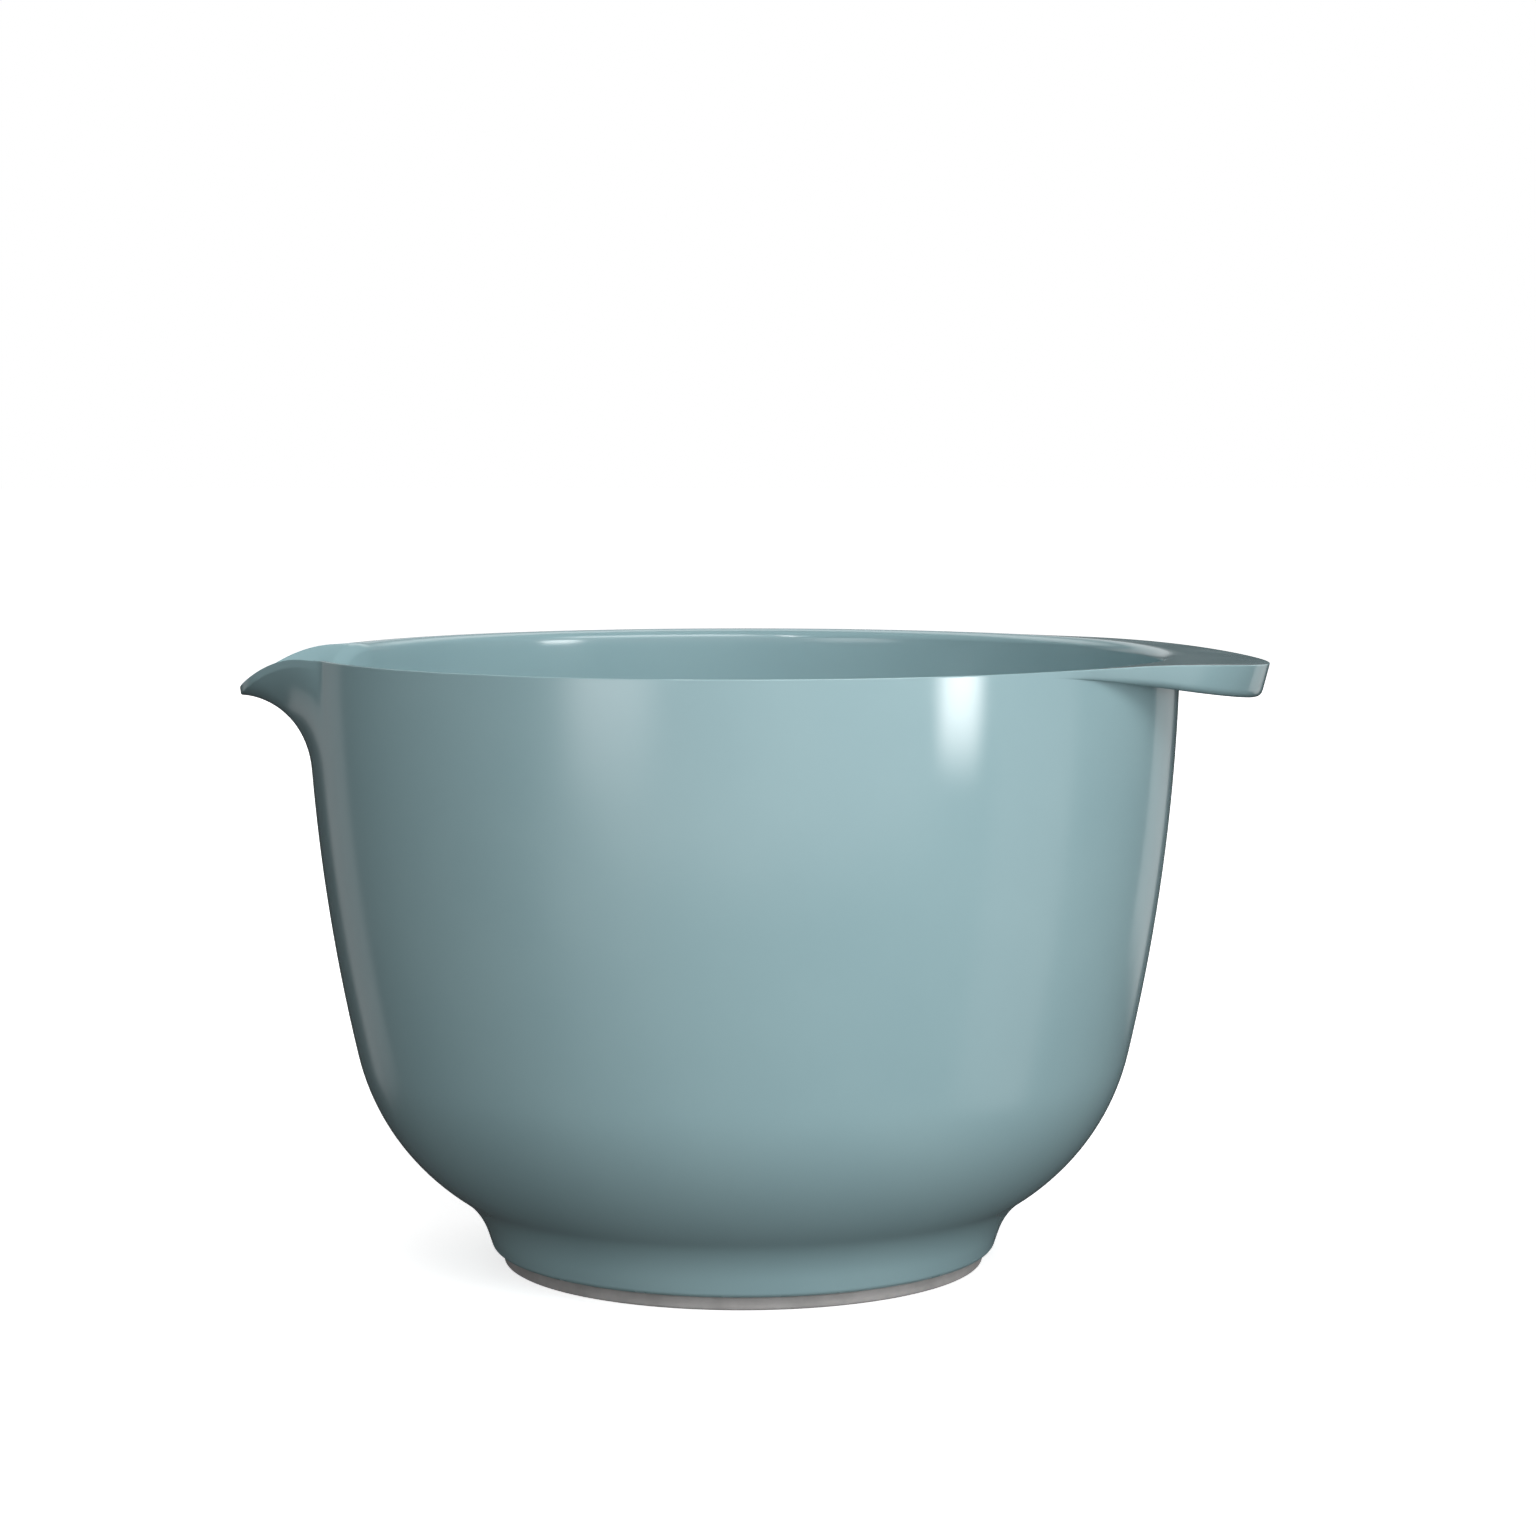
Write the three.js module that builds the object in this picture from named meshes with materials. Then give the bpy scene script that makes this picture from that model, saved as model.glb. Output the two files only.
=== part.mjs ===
// Mixing bowl, 3 litre size: one moulded shell with a pouring spout on -X and a turned-down
// handle lip on +X, standing on a rubber ring that is pressed into a groove under its foot.
// Millimetres, +Z up. The origin is on the table, in the middle of the bowl's length.
import * as THREE from 'three';

const DEGREE = Math.PI / 180;

// ---- Driving dimensions ----
const HEIGHT = 141.2;                     // table to rim
const RIM_RADIUS = 100;                   // outer edge of the rim
const WALL = 3;                           // wall thickness below the rim

// Outer side from the rim down: side arc, belly arc, hollow cove, straight side of the foot.
// A slope is the angle between the surface and the vertical.
const RIM_SLOPE = 0.8 * DEGREE;
const SIDE_RADIUS = 440;
const SIDE_END_SLOPE = 12.88 * DEGREE;
const BELLY_RADIUS = 53.3;
const BELLY_END_SLOPE = 56.1 * DEGREE;
const COVE_RADIUS = 18.5;
const FOOT_SLOPE = 18.5 * DEGREE;
const FOOT_EDGE_RADIUS = 1.8;
const FOOT_INNER_RADIUS = 47;
const FOOT_HEIGHT = 3.25;                 // table to the foot's lower face

// Rim edge: sharp outside, rounded inside on a quarter ellipse.
const RIM_ROUND_WIDTH = 3.4;
const RIM_ROUND_HEIGHT = 2.3;
const LIP_LAND = 1.9;                     // height of the upright edge, also on the spout's tip

// Spout: a V in plan with a round tip, filleted into the rim.
const SPOUT_REACH = 115.6;
const SPOUT_TIP_RADIUS = 27;
const SPOUT_SIDE_NORMAL = 39.7 * DEGREE;  // from the spout's centre line
const SPOUT_FILLET = 14;
const SPOUT_DIP_START = 98;               // distance from the axis where the edge starts to dip
const SPOUT_DIP_RADIUS = 19.2;
const FLARE_START = HEIGHT - 26.4;        // height where the spout leaves the wall
const SPOUT_FULL_OVERHANG = 8;            // overhang at which the lip has its spout shape
const SPOUT_ZONE = 28 * DEGREE;           // the sections stand closer together this near it

// Handle: in plan the rim circle and a smaller end circle, joined by the lines touching both.
const HANDLE_REACH = 120.8;
const HANDLE_END_RADIUS = 64;
const HANDLE_DROOP_START = 84;
const HANDLE_DROOP_RADIUS = 294;
const SKIRT_PLANE_START = 64;             // where the skirt's lower plane meets the rim's plane
const SKIRT_PLANE_FALL = 0.187;           // fall of that plane for each millimetre outward
const SKIRT_DRAFT = 0.24;                 // lean of the skirt's outer face, inward going down
const SKIRT_THICKNESS = 3;
const HANDLE_PLATE = 3;                   // thickness of the handle's top
const HANDLE_ROOT_FILLET = 2.5;           // between the wall and the underside of the plate
const SKIRT_EDGE_RADIUS = 2.5;            // rounding of the skirt's lower outer edge
const SKIRT_INNER_ROUND = 0.4;            // small break where the hollow meets the skirt
const SKIRT_LEAST_HEIGHT = 1.2;           // height of the skirt where it runs out into the rim

// Rubber ring, clear of the shell on every side by the fit gap.
const RING_OUTER_RADIUS = 55.7;
const RING_INNER_RADIUS = 48.6;
const RING_EDGE_ROUND = 0.6;
const GROOVE_INNER_RADIUS = 50.5;
const GROOVE_OUTER_RADIUS = 54;
const GROOVE_DEPTH = 3.05;
const FIT_GAP = 0.3;
const RING_SEGMENTS = 64;

// The bowl's axis stands off the origin, because the handle reaches further than the spout.
const AXIS_X = (SPOUT_REACH - HANDLE_REACH) / 2;

// ---- Outer wall ----
function arcPoint(centre, radius, slope) {
  return [centre[0] + radius * Math.cos(slope), centre[1] - radius * Math.sin(slope)];
}

const sideCentre = arcPoint([RIM_RADIUS, HEIGHT], -SIDE_RADIUS, RIM_SLOPE);
const bellyCentre = arcPoint(sideCentre, SIDE_RADIUS - BELLY_RADIUS, SIDE_END_SLOPE);
const coveCentre = arcPoint(bellyCentre, BELLY_RADIUS + COVE_RADIUS, BELLY_END_SLOPE);
const flareStartSlope = Math.asin((sideCentre[1] - FLARE_START) / SIDE_RADIUS);
const footInnerSlope = Math.acos((FOOT_INNER_RADIUS - bellyCentre[0]) / BELLY_RADIUS);

// Outer radius of the plain wall at a height on the side arc.
function wallRadius(z) {
  return sideCentre[0] + Math.sqrt(SIDE_RADIUS ** 2 - (sideCentre[1] - z) ** 2);
}

// Points on an arc, with the first slope left out and the last one kept.
function arcSteps(centre, radius, fromSlope, toSlope, steps) {
  const points = [];
  for (let i = 1; i <= steps; i += 1) {
    points.push(arcPoint(centre, radius, fromSlope + (toSlope - fromSlope) * i / steps));
  }
  return points;
}

// Centre of the rounded edge between the foot's lower face and its straight side.
function footEdgeCentre() {
  const sideTop = arcPoint(coveCentre, -COVE_RADIUS, FOOT_SLOPE);
  const edgeTop = FOOT_HEIGHT + FOOT_EDGE_RADIUS * (1 - Math.sin(FOOT_SLOPE));
  const inward = (sideTop[1] - edgeTop) * Math.tan(FOOT_SLOPE);
  return [
    sideTop[0] - inward - FOOT_EDGE_RADIUS * Math.cos(FOOT_SLOPE),
    FOOT_HEIGHT + FOOT_EDGE_RADIUS,
  ];
}

// Underside and outer wall up to the height where the spout starts, the same all round.
function lowerOutline() {
  const down = 90 * DEGREE;
  const grooveTop = FOOT_HEIGHT + GROOVE_DEPTH;
  const edgeCentre = footEdgeCentre();
  return [
    arcPoint(bellyCentre, BELLY_RADIUS, down),
    ...arcSteps(bellyCentre, BELLY_RADIUS, down, footInnerSlope, 2),
    [FOOT_INNER_RADIUS, FOOT_HEIGHT],
    [GROOVE_INNER_RADIUS, FOOT_HEIGHT],
    [GROOVE_INNER_RADIUS, grooveTop],
    [GROOVE_OUTER_RADIUS, grooveTop],
    [GROOVE_OUTER_RADIUS, FOOT_HEIGHT],
    arcPoint(edgeCentre, FOOT_EDGE_RADIUS, down),
    ...arcSteps(edgeCentre, FOOT_EDGE_RADIUS, down, FOOT_SLOPE, 2),
    arcPoint(coveCentre, -COVE_RADIUS, FOOT_SLOPE),
    ...arcSteps(coveCentre, -COVE_RADIUS, FOOT_SLOPE, BELLY_END_SLOPE, 3),
    ...arcSteps(bellyCentre, BELLY_RADIUS, BELLY_END_SLOPE, SIDE_END_SLOPE, 5),
    ...arcSteps(sideCentre, SIDE_RADIUS, SIDE_END_SLOPE, flareStartSlope, 3),
  ];
}

// Inner wall from that height down to the edge of the flat floor, the same all round.
function insideOutline() {
  const side = SIDE_RADIUS - WALL;
  const belly = BELLY_RADIUS - WALL;
  return [
    arcPoint(sideCentre, side, flareStartSlope),
    ...arcSteps(sideCentre, side, flareStartSlope, SIDE_END_SLOPE, 3),
    ...arcSteps(bellyCentre, belly, SIDE_END_SLOPE, 90 * DEGREE, 6),
  ];
}

// ---- Plan outlines of the edge, as radius at an angle from the centre line ----
const handleCentre = HANDLE_REACH - HANDLE_END_RADIUS;
const handleAngle = Math.acos((RIM_RADIUS - HANDLE_END_RADIUS) / handleCentre);
const handleEndAngle = polarAngle(handleCentre, HANDLE_END_RADIUS, handleAngle);

const spoutCentre = SPOUT_REACH - SPOUT_TIP_RADIUS;
const spoutLineDistance = spoutCentre * Math.cos(SPOUT_SIDE_NORMAL) + SPOUT_TIP_RADIUS;
const spoutTipAngle = polarAngle(spoutCentre, SPOUT_TIP_RADIUS, SPOUT_SIDE_NORMAL);
const filletCentreRadius = RIM_RADIUS + SPOUT_FILLET;
const filletLineOffset = (spoutLineDistance + SPOUT_FILLET) / filletCentreRadius;
const filletCentreAngle = SPOUT_SIDE_NORMAL - Math.acos(filletLineOffset);
const filletEndAngle = Math.atan2(
  filletCentreRadius * Math.sin(filletCentreAngle) - SPOUT_FILLET * Math.sin(SPOUT_SIDE_NORMAL),
  filletCentreRadius * Math.cos(filletCentreAngle) - SPOUT_FILLET * Math.cos(SPOUT_SIDE_NORMAL),
);

// Angle, seen from the axis, of a point at a given angle on a circle centred on the X axis.
function polarAngle(centre, radius, angle) {
  return Math.atan2(radius * Math.sin(angle), centre + radius * Math.cos(angle));
}

// Far crossing of a ray from the axis with a circle whose centre lies on the centre line.
function circleCrossing(centre, radius, angle) {
  const across = centre * Math.sin(angle);
  return centre * Math.cos(angle) + Math.sqrt(radius ** 2 - across ** 2);
}

function handleOutline(angle) {
  if (angle >= handleAngle) return RIM_RADIUS;
  if (angle >= handleEndAngle) return RIM_RADIUS / Math.cos(handleAngle - angle);
  return circleCrossing(handleCentre, HANDLE_END_RADIUS, angle);
}

function spoutOutline(angle) {
  if (angle >= filletCentreAngle) return RIM_RADIUS;
  if (angle >= filletEndAngle) {
    const turn = filletCentreAngle - angle;
    const across = filletCentreRadius * Math.sin(turn);
    return filletCentreRadius * Math.cos(turn) - Math.sqrt(SPOUT_FILLET ** 2 - across ** 2);
  }
  if (angle >= spoutTipAngle) return spoutLineDistance / Math.cos(SPOUT_SIDE_NORMAL - angle);
  return circleCrossing(spoutCentre, SPOUT_TIP_RADIUS, angle);
}

// Height of the edge: it droops towards the handle's end and dips towards the spout's tip.
function edgeHeight(x) {
  const droop = Math.max(x - HANDLE_DROOP_START, 0) ** 2 / (2 * HANDLE_DROOP_RADIUS);
  const dip = Math.max(-x - SPOUT_DIP_START, 0) ** 2 / (2 * SPOUT_DIP_RADIUS);
  return HEIGHT - droop - dip;
}

// ---- Upper part of a vertical section through the axis ----
const UPPER_STEPS = 13;
const TOP_STEPS = 7;

function smoothStep(value) {
  const t = THREE.MathUtils.clamp(value, 0, 1);
  return t * t * (3 - 2 * t);
}

// The wall leaves FLARE_START on an arc that is tangent to it and ends under the lip's edge.
function flareArc(angle) {
  const smallestOverhang = 0.001;
  const reach = spoutOutline(Math.PI - angle);
  const overhang = Math.max(reach - RIM_RADIUS, smallestOverhang);
  const edge = edgeHeight(reach * Math.cos(angle));
  const rise = edge - LIP_LAND - FLARE_START;
  const radius = (rise ** 2 + overhang ** 2) / (2 * overhang);
  return { reach, overhang, edge, radius, sweep: Math.asin(rise / radius) };
}

function flarePoint(flare, fraction) {
  const turn = flare.sweep * fraction;
  const z = FLARE_START + flare.radius * Math.sin(turn);
  return { r: wallRadius(z) + flare.radius * (1 - Math.cos(turn)), z, turn };
}

// Outer side from FLARE_START to the lip, away from the handle.
function flareOutline(flare) {
  const points = [];
  for (let i = 1; i <= UPPER_STEPS; i += 1) {
    const { r, z } = flarePoint(flare, i / UPPER_STEPS);
    points.push([r, z]);
  }
  return points;
}

// Outer side from FLARE_START up the wall, under the handle's plate and round its skirt.
function handleUnderside(angle, reach) {
  const smallestOverhang = 0.05;
  const planeAt = (r) => {
    const outward = Math.max(r * Math.cos(angle) - SKIRT_PLANE_START, 0);
    return HEIGHT - Math.hypot(SKIRT_PLANE_FALL * outward, SKIRT_LEAST_HEIGHT);
  };
  const ceilingAt = (r) => Math.max(planeAt(r), edgeHeight(r * Math.cos(angle)) - HANDLE_PLATE);
  const wall = wallRadius(HEIGHT);
  const overhang = Math.max(reach - wall, smallestOverhang);
  const skirtHeight = edgeHeight(reach * Math.cos(angle)) - planeAt(reach);
  const lean = Math.min(SKIRT_DRAFT * skirtHeight, overhang / 2);
  const outer = wall + overhang - lean;
  const room = outer - wall;
  const inner = outer - Math.min(SKIRT_THICKNESS, room / 2);
  const largestRound = room / 5;
  const root = Math.min(HANDLE_ROOT_FILLET, largestRound);
  const corner = Math.min(SKIRT_INNER_ROUND, largestRound / 2);
  const edge = Math.min(SKIRT_EDGE_RADIUS, largestRound, skirtHeight / 3);
  const depth = Math.max(ceilingAt(inner) - planeAt(inner), 0);
  const rise = Math.min(corner, depth / 3);
  const rootHeight = ceilingAt(wall + root);
  const points = [];
  for (const fraction of [1 / 3, 2 / 3, 1]) {
    const z = FLARE_START + (rootHeight - root - FLARE_START) * fraction;
    points.push([wallRadius(z), z]);
  }
  for (const turn of [30 * DEGREE, 60 * DEGREE, 90 * DEGREE]) {
    points.push([wall + root * (1 - Math.cos(turn)), rootHeight - root * (1 - Math.sin(turn))]);
  }
  points.push([inner - corner, ceilingAt(inner - corner)]);
  points.push([inner, ceilingAt(inner) - rise]);
  points.push([inner + corner / 2, planeAt(inner) + rise]);
  points.push([inner + corner, planeAt(inner + corner)]);
  for (const turn of [0, 45 * DEGREE, 90 * DEGREE]) {
    const r = outer - edge * (1 - Math.sin(turn));
    points.push([r, planeAt(outer) + edge * (1 - Math.cos(turn))]);
  }
  return points;
}

// Top of the edge and inner wall down to FLARE_START where the wall stands upright: the plate
// of the handle if there is one, the rounded inner edge, then the wall.
function plainTop(angle, reach, flare) {
  const plateShare = [1 / 3, 2 / 3, 1, 1, 1];
  const roundTurn = [9, 18, 40, 64, 90];
  const plate = Math.max(reach - flare.overhang - RIM_RADIUS, 0);
  const points = plateShare.map((share, i) => {
    const turn = roundTurn[i] * DEGREE;
    const r = reach - plate * share - RIM_ROUND_WIDTH * Math.sin(turn);
    const edge = plate > 0 ? edgeHeight(r * Math.cos(angle)) : flare.edge;
    return [r, edge - RIM_ROUND_HEIGHT * (1 - Math.cos(turn))];
  });
  const wallTop = points[points.length - 1][1];
  for (let i = points.length + 1; i <= TOP_STEPS; i += 1) {
    const down = (i - plateShare.length) / (TOP_STEPS - plateShare.length + 1);
    const z = wallTop + (FLARE_START - wallTop) * down;
    const lean = flare.radius - Math.sqrt(flare.radius ** 2 - (z - FLARE_START) ** 2);
    const thickness = RIM_ROUND_WIDTH + (WALL - RIM_ROUND_WIDTH) * down;
    points.push([wallRadius(z) + lean - thickness, z]);
  }
  return points;
}

// The same stretch inside the spout: an offset of the outer flare that thins towards the tip.
function spoutTop(flare) {
  const points = [];
  for (let i = 1; i <= TOP_STEPS; i += 1) {
    const fraction = 1 - i / (TOP_STEPS + 1);
    const { r, z, turn } = flarePoint(flare, fraction);
    const thickness = WALL + (LIP_LAND - WALL) * fraction ** 2;
    points.push([r - thickness * Math.cos(turn), z + thickness * Math.sin(turn)]);
  }
  return points;
}

// Whole section at an angle from the handle's centre line, from the middle of the underside
// out and up to the edge, and down the inside to the middle of the floor.
function section(angle) {
  const flare = flareArc(angle);
  const onHandle = angle <= handleAngle;
  const reach = onHandle ? handleOutline(angle) : flare.reach;
  const upper = onHandle ? handleUnderside(angle, reach) : flareOutline(flare);
  const spoutShare = smoothStep(flare.overhang / SPOUT_FULL_OVERHANG);
  const plain = plainTop(angle, reach, flare);
  const spout = spoutTop(flare);
  const top = plain.map(([r, z], i) => [
    r + (spout[i][0] - r) * spoutShare,
    z + (spout[i][1] - z) * spoutShare,
  ]);
  const edge = [reach, edgeHeight(reach * Math.cos(angle))];
  return [...lowerOutline(), ...upper, edge, ...top, ...insideOutline()];
}

// ---- Shell ----
// Angles of the sections round the bowl, closer together where the edge changes shape.
function stationAngles() {
  const half = [];
  const stretch = (from, to, steps) => {
    for (let i = 0; i < steps; i += 1) half.push(from + (to - from) * i / steps);
  };
  stretch(0, handleEndAngle, 3);
  stretch(handleEndAngle, handleAngle, 4);
  stretch(handleAngle, 90 * DEGREE, 6);
  stretch(90 * DEGREE, Math.PI - SPOUT_ZONE, 9);
  stretch(Math.PI - SPOUT_ZONE, Math.PI, 11);
  const otherHalf = half.slice(1).reverse().map((angle) => -angle);
  return [...half, Math.PI, ...otherHalf];
}

function shellGeometry() {
  const angles = stationAngles();
  const positions = [];
  const index = [];
  let ring = 0;
  for (const angle of angles) {
    const outline = section(Math.abs(angle));
    ring = outline.length;
    for (const [r, z] of outline) positions.push(r * Math.cos(angle), r * Math.sin(angle), z);
  }
  for (let i = 0; i < angles.length; i += 1) {
    const here = i * ring;
    const next = ((i + 1) % angles.length) * ring;
    for (let j = 0; j < ring - 1; j += 1) {
      index.push(here + j, next + j, next + j + 1, here + j, next + j + 1, here + j + 1);
    }
  }
  const underside = positions.length / 3;
  positions.push(0, 0, bellyCentre[1] - BELLY_RADIUS);
  const floor = underside + 1;
  positions.push(0, 0, bellyCentre[1] - BELLY_RADIUS + WALL);
  for (let i = 0; i < angles.length; i += 1) {
    const here = i * ring;
    const next = ((i + 1) % angles.length) * ring;
    index.push(underside, next, here);
    index.push(floor, here + ring - 1, next + ring - 1);
  }
  const geometry = new THREE.BufferGeometry();
  geometry.setAttribute('position', new THREE.Float32BufferAttribute(positions, 3));
  geometry.setIndex(index);
  geometry.computeVertexNormals();
  return geometry;
}

// ---- Rubber ring: a flat band with a tongue that stands in the foot's groove ----
function ringGeometry() {
  const top = FOOT_HEIGHT - FIT_GAP;
  const tongueTop = FOOT_HEIGHT + GROOVE_DEPTH - FIT_GAP;
  const tongueInner = GROOVE_INNER_RADIUS + FIT_GAP;
  const tongueOuter = GROOVE_OUTER_RADIUS - FIT_GAP;
  const outline = [
    [RING_INNER_RADIUS, 0],
    [RING_OUTER_RADIUS - RING_EDGE_ROUND, 0],
    [RING_OUTER_RADIUS, RING_EDGE_ROUND],
    [RING_OUTER_RADIUS, top],
    [tongueOuter, top],
    [tongueOuter, tongueTop],
    [tongueInner, tongueTop],
    [tongueInner, top],
    [RING_INNER_RADIUS, top],
    [RING_INNER_RADIUS, 0],
  ].map(([r, z]) => new THREE.Vector2(r, z));
  const geometry = new THREE.LatheGeometry(outline, RING_SEGMENTS);
  geometry.rotateX(90 * DEGREE);
  return geometry;
}

// ---- Assembly ----
function named(name, geometry, material) {
  const mesh = new THREE.Mesh(geometry, material);
  mesh.name = name;
  return mesh;
}

const melamine = new THREE.MeshStandardMaterial({ color: 0x8fb4ba, roughness: 0.18, metalness: 0 });
const rubber = new THREE.MeshStandardMaterial({ color: 0x8c8988, roughness: 0.75, metalness: 0 });

const bowl = new THREE.Group();
bowl.add(named('bowl_shell', shellGeometry(), melamine));
bowl.add(named('non_slip_ring', ringGeometry(), rubber));
bowl.position.x = AXIS_X;

const part = new THREE.Group();
part.add(bowl);

export default part;
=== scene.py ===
"""Mixing bowl: a glossy moulded shell with a pouring spout and a handle lip, on a rubber ring."""
import math

import bpy
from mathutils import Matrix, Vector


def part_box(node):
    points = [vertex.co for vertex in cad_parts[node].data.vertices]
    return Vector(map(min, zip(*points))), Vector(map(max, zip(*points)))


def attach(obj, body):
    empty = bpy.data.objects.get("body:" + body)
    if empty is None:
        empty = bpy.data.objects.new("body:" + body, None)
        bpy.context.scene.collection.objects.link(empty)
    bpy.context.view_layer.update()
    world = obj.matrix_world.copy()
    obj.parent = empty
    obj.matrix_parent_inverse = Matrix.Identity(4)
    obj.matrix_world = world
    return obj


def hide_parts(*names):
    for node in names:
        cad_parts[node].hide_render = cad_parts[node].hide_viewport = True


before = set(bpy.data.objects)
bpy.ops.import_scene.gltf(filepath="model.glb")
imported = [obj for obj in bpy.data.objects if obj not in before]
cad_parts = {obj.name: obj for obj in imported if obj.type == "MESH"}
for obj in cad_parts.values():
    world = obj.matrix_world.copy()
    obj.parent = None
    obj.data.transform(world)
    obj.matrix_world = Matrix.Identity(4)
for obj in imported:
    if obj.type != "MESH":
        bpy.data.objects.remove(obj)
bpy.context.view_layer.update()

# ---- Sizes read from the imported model, in metres ----
shell_low, shell_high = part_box("bowl_shell")
ring_low, ring_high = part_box("non_slip_ring")
AXIS_X = (ring_low.x + ring_high.x) / 2
HEIGHT = shell_high.z
RIM_RADIUS = shell_high.y
HANDLE_REACH = shell_high.x - AXIS_X
SPOUT_REACH = AXIS_X - shell_low.x
FOOT_HEIGHT = shell_low.z
RING_OUTER_RADIUS = (ring_high.x - ring_low.x) / 2
TONGUE_TOP = ring_high.z

# ---- Shape of the shell, as in the CAD model ----
WALL = 0.003
RIM_SLOPE = math.radians(0.8)              # slopes are measured from the vertical
SIDE_RADIUS = 0.440
SIDE_END_SLOPE = math.radians(12.88)
BELLY_RADIUS = 0.0533
BELLY_END_SLOPE = math.radians(56.1)
COVE_RADIUS = 0.0185
FOOT_SLOPE = math.radians(18.5)
FOOT_EDGE_RADIUS = 0.0018
FOOT_INNER_RADIUS = 0.047

RIM_ROUND_WIDTH = 0.0034
RIM_ROUND_HEIGHT = 0.0023
LIP_LAND = 0.0019
EDGE_EASE = 0.0003                         # rounding of the edges that look sharp

SPOUT_TIP_RADIUS = 0.027
SPOUT_SIDE_NORMAL = math.radians(39.7)
SPOUT_FILLET = 0.014
SPOUT_DIP_START = 0.098
SPOUT_DIP_RADIUS = 0.0192
SPOUT_FULL_OVERHANG = 0.008                # overhang at which the lip has its spout shape
FLARE_START = HEIGHT - 0.0264

HANDLE_END_RADIUS = 0.064
HANDLE_DROOP_START = 0.084
HANDLE_DROOP_RADIUS = 0.294
SKIRT_PLANE_START = 0.064
SKIRT_PLANE_FALL = 0.187
SKIRT_LEAST_HEIGHT = 0.0012
SKIRT_DRAFT = 0.24
SKIRT_THICKNESS = 0.003
SKIRT_INNER_DRAFT = 0.0004                 # how far the skirt's inner side leans out
HANDLE_PLATE = 0.003

GROOVE_INNER_RADIUS = 0.0505
GROOVE_OUTER_RADIUS = 0.054
FIT_GAP = 0.0003
RING_INNER_RADIUS = 0.0486

# Rounding of each corner: of the foot, from the recess outwards, and of the ring, all the way round
FOOT_EASES = (0.0012, 0.0005, EDGE_EASE, 0.0005, 0.0005, EDGE_EASE)
RING_EASES = (0.0007, 0.0005, 0.0004, 0.0004, 0.0004, 0.0004, 0.0005, 0.0007)

QUARTER_TURN = math.radians(90)
DOWN = QUARTER_TURN                        # slope of a surface that faces straight down

# ---- Fineness of the outlines: how many steps each stretch is drawn in ----
FOOT_CORNER_STEPS = 3
FOOT_EDGE_STEPS = 6
DOME_STEPS = 5
COVE_STEPS = 9
BELLY_STEPS = 20
SIDE_STEPS = 14
INNER_BELLY_STEPS = 26
DISC_SHARES = (0.2, 0.4, 0.6, 0.8)         # rings of points on a flat disc


# ---- Curve helpers: every outline is a list of (radius, height) points ----
def arc_point(centre, radius, slope):
    return (centre[0] + radius * math.cos(slope), centre[1] - radius * math.sin(slope))


def arc_steps(centre, radius, from_slope, to_slope, steps):
    """Points on an arc, with the first slope left out and the last one kept."""
    return [
        arc_point(centre, radius, from_slope + (to_slope - from_slope) * i / steps)
        for i in range(1, steps + 1)
    ]


def mix(a, b, t):
    return a + (b - a) * t


def mix_points(p, q, t):
    return (mix(p[0], q[0], t), mix(p[1], q[1], t))


def smooth_step(value):
    t = min(max(value, 0.0), 1.0)
    return t * t * (3 - 2 * t)


def towards(p, q, distance):
    """The point at a distance from p on the way to q."""
    length = math.dist(p, q)
    return mix_points(p, q, distance / length) if length > 0 else p


def corner(before, at, after, start_ease, end_ease, steps):
    """A rounded corner: a quadratic curve between points at the two distances from it."""
    start = towards(at, before, start_ease)
    end = towards(at, after, end_ease)
    points = []
    for i in range(steps + 1):
        t = i / steps
        points.append(mix_points(mix_points(start, at, t), mix_points(at, end, t), t))
    return points


def eased(points, eases, steps):
    """A polyline with its inner corners rounded. Its two end points stay as they are."""
    outline = [points[0]]
    for i in range(1, len(points) - 1):
        ease = eases[i - 1]
        outline += corner(points[i - 1], points[i], points[i + 1], ease, ease, steps)
    return outline + [points[-1]]


# ---- Wall ----
side_centre = arc_point((RIM_RADIUS, HEIGHT), -SIDE_RADIUS, RIM_SLOPE)
belly_centre = arc_point(side_centre, SIDE_RADIUS - BELLY_RADIUS, SIDE_END_SLOPE)
cove_centre = arc_point(belly_centre, BELLY_RADIUS + COVE_RADIUS, BELLY_END_SLOPE)
flare_start_slope = math.asin((side_centre[1] - FLARE_START) / SIDE_RADIUS)
foot_inner_slope = math.acos((FOOT_INNER_RADIUS - belly_centre[0]) / BELLY_RADIUS)


def wall_radius(z):
    return side_centre[0] + math.sqrt(SIDE_RADIUS ** 2 - (side_centre[1] - z) ** 2)


def disc_steps(edge, shares):
    """Points on a flat disc, at shares of the way from its middle to its edge."""
    return [(edge[0] * share, edge[1]) for share in shares]


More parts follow.
